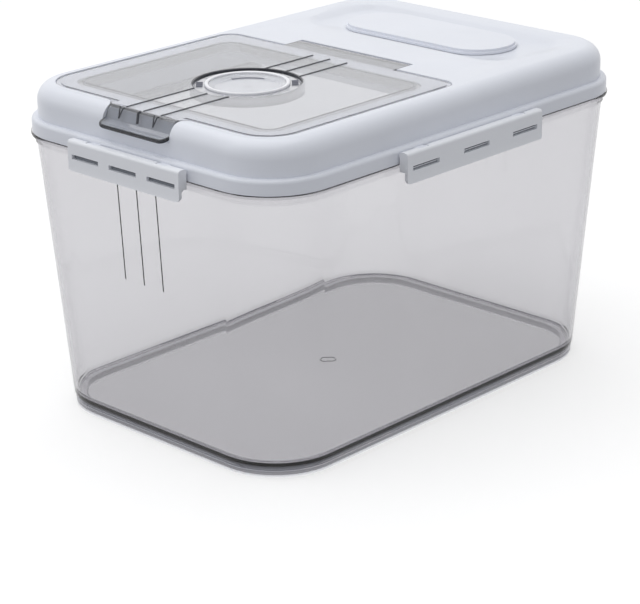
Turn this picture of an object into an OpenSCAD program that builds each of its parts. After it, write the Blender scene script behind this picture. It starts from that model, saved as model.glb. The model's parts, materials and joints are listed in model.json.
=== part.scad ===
// Rice bin: clear tub, white lid held by four clips, clear flip flap with a date dial,
// and a desiccant cassette at the rear of the lid.
// Millimetres, +Z up. The origin is the centre of the foot, and the flap opens at the -Y end.

/* [Tub] */
// Length over the rim flange
tub_len = 340; // [310:1:400]
// Width over the rim flange
tub_wid = 239; // [225:1:280]
// Height of the rim flange's underside above the table
flange_z = 181.4; // [150:0.2:240]
// Thickness of the rim flange
flange_t = 3; // [2.4:0.1:4]
// Corner radius of the rim flange
rim_r = 43; // [38:1:50]
// Corner radius of the wall at the floor
base_r = 45; // [38:1:55]
// Wall thickness
wall_t = 2.2; // [1.6:0.1:2.6]
// Draft of the walls in degrees
wall_draft = 3; // [1:0.1:4]
// Height of the floor's upper face
floor_z = 8.5; // [7:0.1:14]
// Thickness of the floor
floor_t = 3; // [2:0.1:4]
// How far the foot ring is set in from the wall
foot_in = 0.8; // [0.4:0.1:2]
// Thickness of the foot ring
foot_t = 2.6; // [1.6:0.1:4]
// Rim standing above the flange, inside the lid
upstand_h = 4.8; // [3.6:0.1:5.2]
// Number of styling ribs on each short wall
rib_count = 3; // [1:1:5]
// Distance between the styling ribs
rib_pitch = 17; // [10:0.5:20]
// Width of a styling rib
rib_w = 0.9; // [0.6:0.1:1.6]
// Height of a styling rib above its surface
rib_out = 0.5; // [0.3:0.05:0.8]
// Length of a styling rib on the tub
rib_len = 72; // [30:1:110]

/* [Lid] */
// Wall thickness of the lid
lid_t = 2.2; // [1.8:0.1:2.4]
// Thickness of the lid's skirt
skirt_t = 2; // [1.6:0.1:2.1]
// How far the skirt is set in from the flange
skirt_in = 0.8; // [0.4:0.1:1]
// Height of the ledge above the flange
ledge_h = 9.6; // [9:0.1:13]
// Width of the ledge
ledge_w = 4.2; // [3.8:0.1:5]
// Rounding of the ledge's outer edge
ledge_r = 2.5; // [1:0.1:2.6]
// Height of the plateau above the ledge
plateau_h = 21.1; // [19:0.1:30]
// Rounding of the plateau's upper edge
plateau_r = 11; // [8:0.5:11.5]
// Height of the fin's lower edge above the flange
fin_h = 0.8; // [0.4:0.1:2]

/* [Flap] */
// Distance from the plateau's side wall to the flap's side edge
flap_side_in = 14; // [13:0.5:18]
// Distance from the plateau's front wall to the flap's front edge
flap_front_in = 12; // [11.5:0.1:16]
// Length of the flap without its hinge strip
flap_len = 165.7; // [150:0.1:170]
// Corner radius at the flap's front
flap_front_r = 24; // [12:1:30]
// Corner radius at the flap's rear
flap_rear_r = 11; // [6:1:16]
// Thickness of the flap
flap_t = 2.2; // [1.8:0.1:2.4]
// Width of the lower border round the flap
border_w = 2.8; // [1.6:0.1:4]
// Depth of that border
border_h = 0.6; // [0.3:0.1:0.8]
// Distance from the flap's edge to the hopper opening
opening_in = 12.5; // [11:0.5:16]
// Corner radius of the hopper opening
opening_r = 13; // [10:1:18]
// Gap round the flap in its recess
flap_gap = 0.5; // [0.4:0.1:0.8]
// Height of the plug under the flap
plug_h = 6.4; // [5:0.1:7]
// Thickness of the plug's wall
plug_t = 1.8; // [1.4:0.1:2.4]
// Width of the flap's seal
seal_w = 2.6; // [2:0.1:3]
// Width of the pull tab
tab_w = 58; // [40:1:64]
// Length of the tab's flat part in front of the flap
tab_flat = 5.6; // [5:0.1:7]
// Drop of the tab's steep part
tab_drop = 7.1; // [6:0.1:8]
// Run of the tab's steep part
tab_run = 3.3; // [2:0.1:4]
// Reach of the tab's lip
lip_reach = 8.4; // [6:0.1:9]
// Fall of the tab's lip
lip_fall = 3.2; // [2:0.1:3.6]
// Width of the hinge strip
strip_w = 97; // [60:1:120]
// Length of the hinge strip behind the flap
strip_len = 15.8; // [12:0.1:20]
// Radius of the hinge barrel
barrel_r = 2.5; // [2.3:0.1:2.8]
// Radius of the hinge pin
hinge_pin_r = 1.5; // [1.2:0.1:1.6]
// Length of the hinge pin held in the lid at each end
hinge_grip = 7; // [5:0.5:12]

/* [Dial] */
// Distance from the flap's front edge to the dial's centre
dial_front = 82; // [70:1:95]
// Radius of the dial ring
dial_r = 33.8; // [30:0.1:36]
// Radius of the inner disc's rim
disc_r = 26.6; // [22:0.1:27]
// Depth of the dial's well
well_d = 6; // [5.6:0.1:6.4]
// Thickness of the well's wall and floor
well_t = 1.8; // [1.4:0.1:2.2]
// Radius of the dial's stub
stub_r = 3; // [2:0.1:4]
// Angle of the dial's grips
grip_turn = 45; // [0:5:180]

/* [Clips] */
// Length of the front and rear clips
short_clip = 98; // [90:1:120]
// Length of the side clips
long_clip = 128; // [110:1:150]
// Distance between the windows of the front and rear clips
short_pitch = 33.5; // [30:0.5:36]
// Distance between the windows of the side clips
long_pitch = 47; // [36:0.5:50]
// Length of a window
window_len = 24; // [14:1:27]
// Height of a window
window_h = 3; // [2:0.1:3.6]
// Distance from the skirt to the clip's outer face
clip_out = 7.5; // [7.2:0.1:8.5]
// Thickness of the clip's plate
clip_t = 2.2; // [1.6:0.1:2.2]
// Length of the clip below the flange's underside
clip_tail = 7.9; // [6:0.1:12]
// Radius of the clip pins
clip_pin_r = 1; // [0.8:0.05:1.1]
// Width of one hinge ear on the lid
ear_w = 8; // [5:0.5:12]

/* [Desiccant cassette] */
// Length of the cassette cap, across the lid
cap_len = 139; // [110:1:150]
// Width of the cassette cap
cap_wid = 53; // [44:1:60]
// Distance from the plateau's rear wall to the cap's centre
cap_rear = 63; // [60:1:68]
// Distance from the cap's long edge to the dish's upper edge
dish_margin = 9.5; // [8:0.5:10]
// Distance from the cap's end to the dish's upper edge
dish_end = 20.2; // [12:0.2:24]
// Corner radius of the dish's upper edge
dish_r = 20; // [14:1:28]
// Width of the dish's slope
dish_slope = 5; // [3:0.5:6]
// Depth of the dish round the cap
dish_d = 3; // [2:0.1:3.4]
// Height of the cap above the dish
cap_h = 3.5; // [3.2:0.1:5]
// Step between the cap's two tiers
cap_step = 1.4; // [0.8:0.1:2]
// Depth of the tray below the dish
tray_d = 15.6; // [10:0.2:18]
// Thickness of the tray and of the cap
tray_t = 1.5; // [1.2:0.1:1.6]
// Number of slot columns in the tray's floor
slot_cols = 9; // [3:1:11]
// Number of slot rows in the tray's floor
slot_rows = 3; // [1:1:3]

/* [Hidden] */
$fn = 64;
eps = 0.01;

// Clearances shared by all fits
gap = 0.3;          // between pieces that rest on or move past each other
run_gap = 0.05;     // radial clearance of a pin in its bore
seat_gap = 0.4;     // between the tub's rim and the lid's skirt and fin

// Tub heights and outlines
flange_out = skirt_in + skirt_t + seat_gap;
flange_top = flange_z + flange_t;
floor_bottom = floor_z - floor_t;
rim_hx = tub_wid / 2;
rim_hy = tub_len / 2;
upstand_top = flange_top + upstand_h;
base_round = 2.5;   // rounding of the wall into the floor, outside
floor_round = 4;    // rounding of the wall into the floor, inside
band_h = 3;         // stiffening band under the flange
band_out = 1;
gate_r = 4;         // moulding mark in the middle of the floor
gate_h = 0.4;

// Lid heights and outlines, as distances inward from the flange's outline
skirt_z = flange_top + gap;
ledge_z = flange_top + ledge_h;
top_z = ledge_z + plateau_h;
fin_z = flange_top + fin_h;
skirt_e = -skirt_in;
plateau_e = skirt_e - ledge_w;
groove_out_e = -(skirt_in + skirt_t);
groove_in_e = -(flange_out + wall_t + seat_gap);
groove_z = ledge_z - lid_t;
round_e = plateau_e - plateau_r;
plateau_hx = rim_hx + plateau_e;
plateau_hy = rim_hy + plateau_e;

// Flap levels and outline
land_z = top_z - flap_t - gap;
flap_z = top_z - flap_t;
flap_hx = plateau_hx - flap_side_in;
flap_y0 = -(plateau_hy - flap_front_in);
flap_y1 = flap_y0 + flap_len;
land_rim = 2;
collar_h = 11.6;    // collar round the hopper opening, below the land
collar_t = 2;
seal_gap = 0.4;
plug_in = seal_w + seal_gap;    // from the hopper opening to the plug
tab_fillet = 8;
tab_corner_r = 5;
lip_bead_r = 1.5;
tab_gap = 0.5;
notch_sink = 0.6;   // finger room under the tab, at the foot of its steep part
notch_open = 2.6;   // finger room under the lip
cheek_w = 2;        // lid wall beside the notch
strip_hx = strip_w / 2;
hinge_y = flap_y1 + strip_len - barrel_r;
hinge_z = top_z - barrel_r;
trough_gap = 0.9;   // lets the strip lean back past upright
boss_t = 2.3;       // wall round the hinge pin's bore in the lid
flap_rib_pitch = 15;
rib_end = 9;        // distance from the flap's rear edge to the styling ribs' ends
seal_lift = 1;      // from the plug's lower edge to the flap's seal
seal_h = 4;
seal_band_t = 1.2;
seal_lip_h = 0.8;

// Dial levels
dial_y = flap_y0 + dial_front;
well_r = dial_r + gap;
well_z = top_z - well_d;
ring_z = well_z + gap;
ring_ledge_z = top_z - 2.2;
ring_top = top_z - gap;
disc_z = top_z - 3.5;
disc_top = top_z - 1.1;
disc_rim_top = top_z + 0.5;
disc_rim_w = 2.3;
disc_lap = 3.9;     // how far the ring reaches under the disc's rim
grip_h = 1;
grip_w = 13;
grip_pitch = 3.6;
grip_rib_w = 1.2;
grip_rib_h = 0.6;
retainer_t = 1.3;
retainer_r = 6.5;
retainer_z = well_z - well_t - seat_gap - retainer_t;

// Clip levels, with u as the distance outward from the skirt
pin_u = 3;
pin_z = ledge_z - 3.7;
bar_r = 2.2;
ear_r = 2;
neck_h = 1.4;
ear_gap = 0.35;
clip_bottom = flange_z - clip_tail;
clip_r = 2;         // rounding of the clip's upper edges
tip_h = 2.5;
tip_t = 1.5;
tip_flare = 0.6;
end_wall = 2;
end_wall_h = 0.7;   // end wall below the windows
window_z = flange_z - 0.5;
flange_u = skirt_in;
hook_u = flange_u - 0.8;
hook_slope = 60;
hook_h = 3.6;
hook_root = 0.7;    // how much the hook's underside rises toward the flange
end_wall_u = flange_u + 0.4;
clip_inner = clip_out - clip_t;
short_face = rim_hy - skirt_in;
long_face = rim_hx - skirt_in;
ear_inset = 18;     // from a clip's end to the middle of its ear

// Cassette levels and outlines
cap_y = plateau_hy - cap_rear;
dish_z = top_z - dish_d;
cap_z = dish_z + gap;
cap_top = dish_z + cap_h;
tray_in = 4;        // flange of the tray, inside the cap
tray_step = 4;      // from the tray's flange to its wall
tray_gap = 0.5;
tray_flange_t = 1.1;
tray_collar_h = 9;  // collar of the lid round the tray
cap_plug_h = 5;
gasket_t = 0.4;
slot_w = 2.4;
slot_l = 6;
slot_px = 9.5;
slot_py = 9;
tray_flange_z = cap_z + tray_flange_t;
gasket_z = tray_flange_z + gap;
roof_z = gasket_z + gasket_t;
dish_hx = cap_len / 2 + dish_end;
dish_hy = cap_wid / 2 + dish_margin;

// Tub wall half-sizes and corner radius at a height
function wall_hx(z) = rim_hx - flange_out - tan(wall_draft) * (flange_z - z);
function wall_hy(z) = rim_hy - flange_out - tan(wall_draft) * (flange_z - z);
function wall_r(z) = base_r + (rim_r - flange_out - base_r) * (z - floor_bottom) / (flange_z - floor_bottom);

// Rounded rectangle about the origin
module rrect(hx, hy, r) {
    square([2 * (hx - r), 2 * hy], center = true);
    square([2 * hx, 2 * (hy - r)], center = true);
    for (sx = [-1, 1], sy = [-1, 1])
        translate([sx * (hx - r), sy * (hy - r)]) circle(r);
}

// Straight-sided slab of a 2D outline, from one height to another
module slab(z0, z1) {
    translate([0, 0, z0]) linear_extrude(height = z1 - z0) children();
}

// Stadium of a full length and width, lying along X
module stadium(len, wid) {
    rrect(len / 2, wid / 2, wid / 2 - eps);
}

// Box from one corner to the other
module box(a, b) {
    translate(a) cube(b - a);
}

// A profile (outward, up) swept round a rounded rectangle
module sweep_round(hx, hy, r) {
    for (s = [0:3]) {
        sx = (s == 0 || s == 3) ? 1 : -1;
        sy = s < 2 ? 1 : -1;
        translate([sx * (hx - r), sy * (hy - r), 0])
            rotate([0, 0, 90 * s])
            rotate_extrude(angle = 90)
            translate([r, 0]) children();
    }
    for (a = [0, 180])
        rotate([0, 0, a])
        translate([hx, hy - r, 0])
        rotate([90, 0, 0])
        linear_extrude(height = 2 * (hy - r)) children();
    for (a = [90, 270])
        rotate([0, 0, a])
        translate([hy, hx - r, 0])
        rotate([90, 0, 0])
        linear_extrude(height = 2 * (hx - r)) children();
}

// A profile (y, z) extruded along X, centred
module along_x(len) {
    translate([-len / 2, 0, 0])
        rotate([90, 0, 90])
        linear_extrude(height = len) children();
}

// 2D block whose upper outer corner is rounded
module round_block(x0, x1, y0, y1, r) {
    translate([x0, y0]) square([x1 - x0, y1 - y0 - r]);
    translate([x0, y1 - r - eps]) square([x1 - r - x0, r + eps]);
    intersection() {
        translate([x1 - r, y1 - r]) circle(r);
        translate([x1 - r - eps, y1 - r - eps]) square(r + 1);
    }
}

// 2D bar of constant thickness along a list of points
module bent_bar(pts, t) {
    for (i = [0:len(pts) - 2]) {
        d = pts[i + 1] - pts[i];
        translate(pts[i]) rotate(atan2(d[1], d[0])) translate([0, -t / 2]) square([norm(d), t]);
    }
    for (i = [1:len(pts) - 1]) translate(pts[i]) circle(t / 2);
}

// Places a clip or pin on one side: local Y points outward from the skirt
module on_side(turn, face) {
    rotate([0, 0, turn]) translate([0, face, 0]) children();
}

// Slab of the tub's outline at a height, set in from the outer wall
module wall_slice(z, inset) {
    slab(z, z + eps) rrect(wall_hx(z) - inset, wall_hy(z) - inset, wall_r(z) - inset);
}

module tub() {
    color([0.82, 0.82, 0.84, 0.45]) {
        difference() {
            hull() {
                wall_slice(floor_bottom, base_round);
                wall_slice(floor_bottom + base_round, 0);
                wall_slice(flange_z, 0);
            }
            hull() {
                wall_slice(floor_z, wall_t + floor_round);
                wall_slice(floor_z + floor_round, wall_t);
                wall_slice(flange_z + eps, wall_t);
            }
        }
        sweep_round(rim_hx, rim_hy, rim_r) {
            translate([-flange_out - wall_t, flange_z]) square([flange_out + wall_t, flange_t]);
        }
        sweep_round(rim_hx, rim_hy, rim_r) {
            translate([-flange_out - wall_t, flange_z]) square([wall_t, flange_t + upstand_h]);
        }
        sweep_round(rim_hx, rim_hy, rim_r) {
            translate([-flange_out - wall_t / 2, flange_z - band_h])
                square([wall_t / 2 + band_out, band_h + flange_t / 2]);
        }
        foot_ring();
        for (end = [0, 180]) rotate([0, 0, end]) tub_ribs();
        slab(floor_z - eps, floor_z + gate_h) difference() {
            circle(gate_r);
            circle(gate_r - 1);
        }
    }
}

module foot_ring() {
    hx = wall_hx(floor_bottom) - foot_in;
    hy = wall_hy(floor_bottom) - foot_in;
    r = base_r - foot_in;
    slab(0, floor_bottom + base_round) difference() {
        rrect(hx, hy, r);
        rrect(hx - foot_t, hy - foot_t, r - foot_t);
    }
}

// Thin ribs that run down the short wall from the flange
module tub_ribs() {
    for (i = [0:rib_count - 1])
        translate([(i - (rib_count - 1) / 2) * rib_pitch, -wall_hy(flange_z), flange_z])
        rotate([-wall_draft, 0, 0])
        translate([-rib_w / 2, -rib_out, -rib_len - band_h])
        cube([rib_w, rib_out + wall_t / 2, rib_len + band_h]);
}

// Cross-section of the lid's skirt, ledge, fin and rounded plateau wall
module lid_profile() {
    inner_r = plateau_r - lid_t;
    difference() {
        union() {
            round_block(plateau_e - lid_t, skirt_e, skirt_z, ledge_z, ledge_r);
            round_block(round_e - 1, plateau_e, skirt_z, top_z, plateau_r);
        }
        round_block(round_e - 2, plateau_e - lid_t, skirt_z - 1, top_z - lid_t, inner_r);
        translate([groove_in_e, skirt_z - 1])
            square([groove_out_e - groove_in_e, groove_z - skirt_z + 1]);
        translate([plateau_e - lid_t - 1, skirt_z - 1])
            square([groove_in_e - plateau_e + lid_t + 1, fin_z - skirt_z + 1]);
    }
}

// Plan of the flap, grown by a margin
module flap_outline(grow) {
    hx = flap_hx + grow;
    y0 = flap_y0 - grow;
    y1 = flap_y1 + grow;
    rf = flap_front_r + grow;
    rr = flap_rear_r + grow;
    translate([-hx, y0 + rf]) square([2 * hx, y1 - y0 - rf - rr]);
    translate([-hx + rf, y0]) square([2 * (hx - rf), rf + eps]);
    translate([-hx + rr, y1 - rr - eps]) square([2 * (hx - rr), rr + eps]);
    for (s = [-1, 1]) {
        translate([s * (hx - rf), y0 + rf]) circle(rf);
        translate([s * (hx - rr), y1 - rr]) circle(rr);
    }
}

// Plan of the tab where it leaves the flap, with a hollow fillet at each side
module tab_root(grow, reach) {
    hw = tab_w / 2 + grow;
    y0 = flap_y0 - grow;
    f = tab_fillet - grow;
    translate([-hw, y0 - reach]) square([2 * hw, reach + 4]);
    for (s = [-1, 1]) difference() {
        translate([s > 0 ? hw - eps : -hw - f, y0 - f]) square([f + eps, f + eps]);
        translate([s * (hw + f), y0 - f]) circle(f);
    }
}

// Middle line of the tab, from the flap's front edge to the lip
function tab_line() = let (
        y = flap_y0, z = top_z - flap_t / 2,
        bend = [y - tab_flat, z],
        foot = bend + [-tab_run, -tab_drop]
    ) [[y + 3, z], bend, foot, foot + [-lip_reach, -lip_fall]];

// Line of the lid's wall behind and under the tab, as (y, z) points
function notch_line() = let (
        t = tab_line(),
        d = flap_t / 2 + tab_gap
    ) [
        [flap_y0 + 4, land_z],
        [t[1][0] + d, land_z],
        [t[2][0] + d, t[2][1] - d - notch_sink],
        [t[3][0] + lip_reach / 2, t[2][1] - d - notch_open]
    ];

// Region in front of that line, as a (y, z) profile
module notch_profile() {
    n = notch_line();
    far = -rim_hy - 10;
    polygon(concat(n, [[far, n[3][1]], [far, top_z + 10], [n[0][0], top_z + 10]]));
}

// Solid envelope of the plateau at the front, as a (y, z) profile
module plateau_front() {
    mirror([1, 0]) round_block(plateau_hy - plateau_r - 6, plateau_hy, land_z - 12, top_z, plateau_r);
}

// Ear that carries a clip pin, as an (outward, up) profile
module ear_profile() {
    translate([pin_u, pin_z]) circle(ear_r);
    translate([-skirt_t / 2, pin_z - neck_h]) square([pin_u + skirt_t / 2, 2 * neck_h]);
}

module clip_ears(clip_len) {
    for (s = [-1, 1])
        translate([s * (clip_len / 2 - ear_inset), 0, 0]) difference() {
            along_x(ear_w) ear_profile();
            translate([-ear_w, pin_u, pin_z])
                rotate([0, 90, 0])
                cylinder(r = clip_pin_r + run_gap, h = 2 * ear_w);
        }
}

module lid() {
    color([0.86, 0.87, 0.9]) {
        difference() {
            lid_blank();
            lid_cuts();
        }
        on_side(180, short_face) clip_ears(short_clip);
        on_side(0, short_face) clip_ears(short_clip);
        on_side(90, long_face) clip_ears(long_clip);
        on_side(-90, long_face) clip_ears(long_clip);
    }
}

module lid_blank() {
    sweep_round(rim_hx, rim_hy, rim_r) lid_profile();
    slab(top_z - lid_t, top_z) rrect(rim_hx + round_e, rim_hy + round_e, rim_r + round_e);
    slab(land_z - lid_t, top_z) flap_outline(flap_gap + land_rim);
    slab(land_z - collar_h, land_z) opening_outline(collar_t);
    box([-strip_hx - flap_gap - land_rim, flap_y1, hinge_z - barrel_r - gap - lid_t],
        [strip_hx + flap_gap + land_rim, hinge_y + barrel_r + trough_gap + land_rim, top_z]);
    for (side = [0, 1])
        mirror([side, 0, 0])
        box([strip_hx + flap_gap - eps, hinge_y - hinge_pin_r - boss_t, hinge_z - hinge_pin_r - boss_t],
            [strip_hx + flap_gap + hinge_grip + 1, hinge_y + hinge_pin_r + boss_t, top_z]);
    translate([0, cap_y, 0]) {
        slab(dish_z - lid_t, top_z) rrect(dish_hx + lid_t, dish_hy + lid_t, dish_r + lid_t);
        slab(dish_z - tray_collar_h, dish_z) tray_outline(tray_gap + lid_t);
    }
    notch_liner();
}

// Wall behind the tab, with a solid cheek at each side
module notch_liner() {
    cheek = tab_fillet + cheek_w;
    along_x(tab_w + 2 * tab_gap + 2 * cheek) intersection() {
        plateau_front();
        bent_bar(notch_line(), 2 * lid_t);
    }
    for (s = [-1, 1])
        translate([s * (tab_w / 2 + tab_gap + cheek / 2), 0, 0])
        along_x(cheek) plateau_front();
}

// Plan of the hopper opening, grown by a margin
module opening_outline(grow) {
    translate([0, (flap_y0 + flap_y1) / 2])
        rrect(flap_hx - opening_in + grow, flap_len / 2 - opening_in + grow, opening_r + grow);
}

// Plan of the desiccant tray's wall, grown by a margin
module tray_outline(grow) {
    cut = 2 * (tray_in + tray_step - grow);
    stadium(cap_len - cut, cap_wid - cut);
}

module lid_cuts() {
    slab(land_z, top_z + 1) flap_outline(flap_gap);
    slab(land_z - collar_h - 1, top_z) opening_outline(0);
    box([-strip_hx - flap_gap, flap_y1 - 1, land_z],
        [strip_hx + flap_gap, hinge_y, top_z + 1]);
    box([-strip_hx - flap_gap, hinge_y - barrel_r - 0.6, hinge_z - barrel_r - gap],
        [strip_hx + flap_gap, hinge_y + barrel_r + trough_gap, top_z + 1]);
    translate([-strip_hx - flap_gap - hinge_grip, hinge_y, hinge_z])
        rotate([0, 90, 0])
        cylinder(r = hinge_pin_r + run_gap, h = 2 * (strip_hx + flap_gap + hinge_grip));
    intersection() {
        along_x(tab_w + 2 * tab_gap + 2 * tab_fillet) notch_profile();
        slab(land_z - 20, top_z + 1) tab_root(tab_gap, 40);
    }
    translate([0, cap_y, 0]) {
        dish_cut();
        slab(dish_z - 20, top_z) tray_outline(tray_gap);
    }
}

// Dish round the cassette cap, with sloping sides
module dish_cut() {
    hull() {
        slab(dish_z, dish_z + eps)
            rrect(dish_hx - dish_slope, dish_hy - dish_slope, dish_r - dish_slope);
        slab(top_z + eps, top_z + 2 * eps) rrect(dish_hx, dish_hy, dish_r);
    }
}

module lid_seal() {
    color([0.75, 0.76, 0.78])
        sweep_round(rim_hx, rim_hy, rim_r)
        translate([groove_in_e, upstand_top + gap])
        square([groove_out_e - groove_in_e, groove_z - upstand_top - gap]);
}

module flap() {
    color([0.62, 0.63, 0.66, 0.55]) difference() {
        union() {
            slab(flap_z, top_z - border_h) flap_outline(0);
            slab(top_z - border_h, top_z) flap_outline(-border_w);
            slab(flap_z, top_z) tab_root(0, 1);
            tab();
            box([-strip_hx, flap_y1 - border_w - 1, flap_z], [strip_hx, hinge_y, top_z]);
            translate([-strip_hx, hinge_y, hinge_z]) rotate([0, 90, 0]) cylinder(r = barrel_r, h = strip_w);
            slab(flap_z - plug_h, flap_z + eps) difference() {
                opening_outline(-plug_in);
                opening_outline(-plug_in - plug_t);
            }
            translate([0, dial_y, well_z - well_t]) cylinder(r = well_r + well_t, h = well_d + well_t);
            flap_ribs();
        }
        translate([0, dial_y, well_z]) cylinder(r = well_r, h = well_d + 2);
        translate([0, dial_y, well_z - well_t - 1]) cylinder(r = stub_r + run_gap, h = well_t + 2);
        translate([-strip_hx - 1, hinge_y, hinge_z])
            rotate([0, 90, 0])
            cylinder(r = hinge_pin_r + run_gap, h = strip_w + 2);
    }
}

module tab() {
    t = tab_line();
    intersection() {
        along_x(tab_w) {
            bent_bar(t, flap_t);
            translate(t[3]) circle(lip_bead_r);
        }
        slab(land_z - 30, top_z + 1) tab_plan();
    }
}

// Plan of the tab with rounded front corners
module tab_plan() {
    t = tab_line();
    len = flap_y0 - t[3][0] + lip_bead_r;
    back = 10;
    translate([0, flap_y0 + (back - len) / 2]) rrect(tab_w / 2, (len + back) / 2, tab_corner_r);
}

// Three thin lines from the tab to the hinge, broken by the dial
module flap_ribs() {
    y0 = tab_line()[1][0];
    for (i = [0:rib_count - 1])
        translate([(i - (rib_count - 1) / 2) * flap_rib_pitch, 0, 0])
        box([-rib_w / 2, y0, top_z - eps], [rib_w / 2, flap_y1 - rib_end, top_z + rib_out]);
}

module flap_seal() {
    z = flap_z - plug_h + seal_lift;
    color([0.8, 0.81, 0.83]) {
        slab(z, z + seal_h) difference() {
            opening_outline(-plug_in + seal_band_t);
            opening_outline(-plug_in);
        }
        for (lip_z = [z, z + seal_h - seal_lip_h])
            slab(lip_z, lip_z + seal_lip_h) difference() {
                opening_outline(-plug_in + seal_w);
                opening_outline(-plug_in + seal_band_t / 2);
            }
    }
}

module flap_hinge_pin() {
    h = 2 * (strip_hx + flap_gap + hinge_grip) - 2 * gap;
    color([0.7, 0.71, 0.73])
        translate([-h / 2, hinge_y, hinge_z]) rotate([0, 90, 0]) cylinder(r = hinge_pin_r, h = h);
}

module dial_ring() {
    ring_in = disc_r - disc_lap;
    color([0.85, 0.86, 0.88, 0.7]) translate([0, dial_y, 0]) {
        rotate_extrude() {
            translate([ring_in + gap, ring_z]) square([dial_r - ring_in - gap, ring_ledge_z - ring_z]);
            translate([disc_r + gap, ring_z]) square([dial_r - disc_r - gap, ring_top - ring_z]);
        }
        for (a = [0, 180]) rotate([0, 0, grip_turn + a]) dial_grip();
    }
}

// Raised grip on the dial ring, with three finger ribs
module dial_grip() {
    intersection() {
        slab(ring_top - eps, ring_top + grip_h + 1) difference() {
            circle(dial_r - 0.6);
            circle(disc_r + 1);
        }
        union() {
            box([0, -grip_w / 2, 0], [dial_r, grip_w / 2, ring_top + grip_h - grip_rib_h]);
            for (y = [-grip_pitch, 0, grip_pitch])
                box([0, y - grip_rib_w / 2, 0], [dial_r, y + grip_rib_w / 2, ring_top + grip_h]);
        }
    }
}

module dial_disc() {
    body_r = disc_r - disc_lap;
    color([0.84, 0.85, 0.88]) translate([0, dial_y, 0]) {
        rotate_extrude() {
            translate([0, disc_z]) square([body_r, disc_top - disc_z]);
            translate([0, ring_ledge_z + gap]) square([disc_r, disc_top - ring_ledge_z - gap]);
            translate([disc_r - disc_rim_w, ring_ledge_z + gap])
                square([disc_rim_w, disc_rim_top - ring_ledge_z - gap]);
        }
        translate([0, 0, retainer_z - gap]) cylinder(r = stub_r, h = disc_z - retainer_z + gap + 1);
    }
}

module dial_retainer() {
    color([0.9, 0.9, 0.92]) translate([0, dial_y, 0])
        slab(retainer_z, retainer_z + retainer_t) difference() {
            circle(retainer_r);
            circle(stub_r);
        }
}

// Cross-section of a clip: plate, top bar with its barrel, and flared tip
module clip_profile() {
    round_block(clip_inner, clip_out, clip_bottom + tip_h, pin_z + bar_r, clip_r);
    round_block(pin_u, clip_out, pin_z - bar_r, pin_z + bar_r, clip_r);
    translate([pin_u, pin_z]) circle(bar_r);
    polygon([
        [clip_inner, clip_bottom + tip_h + eps],
        [clip_out, clip_bottom + tip_h + eps],
        [clip_out + tip_flare, clip_bottom],
        [clip_out + tip_flare - tip_t, clip_bottom]
    ]);
}

// Cross-section of a hook that grips under the flange
module hook_profile() {
    drop = (flange_u - hook_u) * tan(hook_slope);
    polygon([
        [hook_u, window_z - drop],
        [flange_u, window_z],
        [clip_inner + eps, window_z],
        [clip_inner + eps, window_z - hook_h],
        [end_wall_u, window_z - hook_h + hook_root]
    ]);
}

// Space that the lid's ear needs as the clip turns about its pin
module ear_space() {
    h = neck_h + ear_gap;
    translate([pin_u, pin_z]) circle(ear_r + ear_gap);
    polygon([
        [-2, pin_z - h],
        [pin_u, pin_z - h],
        [pin_u + h + 0.1, pin_z],
        [pin_u + h + 0.6, pin_z + bar_r + 1],
        [-2, pin_z + bar_r + 1]
    ]);
}

module clip(clip_len, pitch) {
    end_x = clip_len / 2;
    color([0.76, 0.77, 0.79]) difference() {
        union() {
            along_x(clip_len) clip_profile();
            for (s = [-1, 1])
                translate([s * (end_x - end_wall / 2), 0, 0]) along_x(end_wall)
                translate([end_wall_u, window_z - end_wall_h])
                square([clip_inner - end_wall_u + eps, pin_z - window_z + end_wall_h]);
            for (k = [-1:1]) translate([k * pitch, 0, 0]) along_x(window_len) hook_profile();
        }
        for (k = [-1:1])
            translate([k * pitch - window_len / 2, clip_inner - 1, window_z])
            cube([window_len, clip_t + 2, window_h]);
        for (s = [-1, 1])
            translate([s * (end_x - ear_inset), 0, 0]) along_x(ear_w + 2 * ear_gap) ear_space();
        translate([-end_x + 1, pin_u, pin_z])
            rotate([0, 90, 0])
            cylinder(r = clip_pin_r + run_gap, h = clip_len - 2);
    }
}

module clip_pin(clip_len) {
    h = clip_len - 2 - 2 * gap;
    color([0.7, 0.71, 0.73])
        translate([-h / 2, pin_u, pin_z]) rotate([0, 90, 0]) cylinder(r = clip_pin_r, h = h);
}

module front_clip() { on_side(180, short_face) clip(short_clip, short_pitch); }
module rear_clip() { on_side(0, short_face) clip(short_clip, short_pitch); }
module left_clip() { on_side(90, long_face) clip(long_clip, long_pitch); }
module right_clip() { on_side(-90, long_face) clip(long_clip, long_pitch); }
module front_clip_pin() { on_side(180, short_face) clip_pin(short_clip); }
module rear_clip_pin() { on_side(0, short_face) clip_pin(short_clip); }
module left_clip_pin() { on_side(90, long_face) clip_pin(long_clip); }
module right_clip_pin() { on_side(-90, long_face) clip_pin(long_clip); }

module cassette_cap() {
    tier_z = cap_z + (cap_top - cap_z) / 2;
    plug = 2 * (tray_in + tray_step + tray_t + gap);
    color([0.87, 0.88, 0.91]) translate([0, cap_y, 0]) {
        difference() {
            union() {
                slab(cap_z, tier_z) stadium(cap_len, cap_wid);
                slab(tier_z - eps, cap_top) stadium(cap_len - 2 * cap_step, cap_wid - 2 * cap_step);
            }
            slab(cap_z - 1, roof_z)
                stadium(cap_len - 2 * tray_in + 2 * gap, cap_wid - 2 * tray_in + 2 * gap);
        }
        slab(roof_z - cap_plug_h, roof_z + eps) difference() {
            stadium(cap_len - plug, cap_wid - plug);
            stadium(cap_len - plug - 2 * tray_t, cap_wid - plug - 2 * tray_t);
        }
    }
}

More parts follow.
